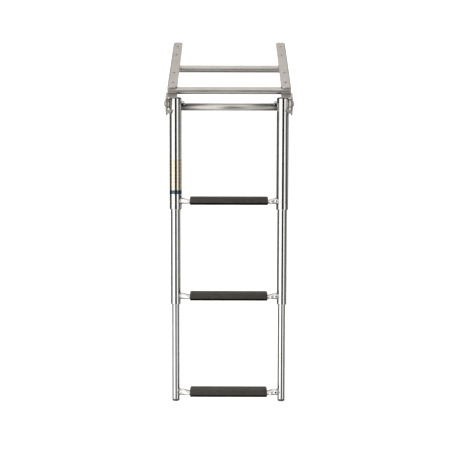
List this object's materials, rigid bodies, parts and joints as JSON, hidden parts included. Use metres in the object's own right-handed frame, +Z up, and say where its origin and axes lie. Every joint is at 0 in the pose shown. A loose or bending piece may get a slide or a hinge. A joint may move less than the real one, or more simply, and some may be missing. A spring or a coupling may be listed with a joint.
{
  "type": "boat boarding ladder",
  "caption": "Stainless telescoping boarding ladder with black treads, hinged to a short frame that bolts under a swim platform; sections slide up and the ladder folds flat.",
  "frame": {"origin": "middle of the front cross bar in plan, on the plane of the rails' top faces, which is the face the ladder is fastened to", "axes": "+X across the ladder, +Y in under the boat along the rails, +Z up"},
  "size_m": [0.3398, 0.7022, 0.759],
  "materials": {
    "satin_steel": "satin",
    "polished_steel": "mirror polished",
    "black_plastic": "moulded",
    "tread_plastic": "grained, ribbed",
    "nylon": "natural nylon",
    "foot_rubber": "matt"
  },
  "bodies": {
    "mounting_frame": {"front_cross_bar": "satin_steel", "rear_cross_bar": "satin_steel", "mounting_rail_left": "satin_steel", "mounting_rail_right": "satin_steel", "pivot_bracket_left": "satin_steel", "pivot_bracket_right": "satin_steel", "stop_lug_left": "satin_steel", "stop_lug_right": "satin_steel", "pivot_bolt_left": "polished_steel", "pivot_bolt_right": "polished_steel", "pivot_nut_left": "polished_steel", "pivot_nut_right": "polished_steel", "pivot_washer_left": "nylon", "pivot_washer_right": "nylon"},
    "upper_section": {"top_brace": "satin_steel", "rung_1": "polished_steel", "tread_1": "tread_plastic", "outer_tube_left": "polished_steel", "outer_tube_right": "polished_steel", "tube_cap_left": "black_plastic", "tube_cap_right": "black_plastic", "outer_collar_left": "polished_steel", "outer_collar_right": "polished_steel", "outer_bush_left": "nylon", "outer_bush_right": "nylon"},
    "middle_section": {"rung_2": "polished_steel", "tread_2": "tread_plastic", "middle_tube_left": "polished_steel", "middle_tube_right": "polished_steel", "middle_collar_left": "polished_steel", "middle_collar_right": "polished_steel", "middle_bush_left": "nylon", "middle_bush_right": "nylon", "middle_top_guide_left": "nylon", "middle_top_guide_right": "nylon"},
    "lower_section": {"rung_3": "polished_steel", "tread_3": "tread_plastic", "inner_tube_left": "polished_steel", "inner_tube_right": "polished_steel", "inner_top_guide_left": "nylon", "inner_top_guide_right": "nylon", "foot_cap_left": "foot_rubber", "foot_cap_right": "foot_rubber"}
  },
  "joints": [
    {"name": "ladder_swing", "type": "hinge", "parent": "mounting_frame", "child": "upper_section", "pos_m": [0, -0.019, -0.042], "axis": [1, 0, 0], "range_deg": [0, 115]},
    {"name": "middle_slide", "type": "slide", "parent": "upper_section", "child": "middle_section", "axis": [0, 0.4226, 0.9063], "range_m": [0, 0.214]},
    {"name": "lower_slide", "type": "slide", "parent": "middle_section", "child": "lower_section", "axis": [0, 0.4226, 0.9063], "range_m": [0, 0.222]}
  ]
}
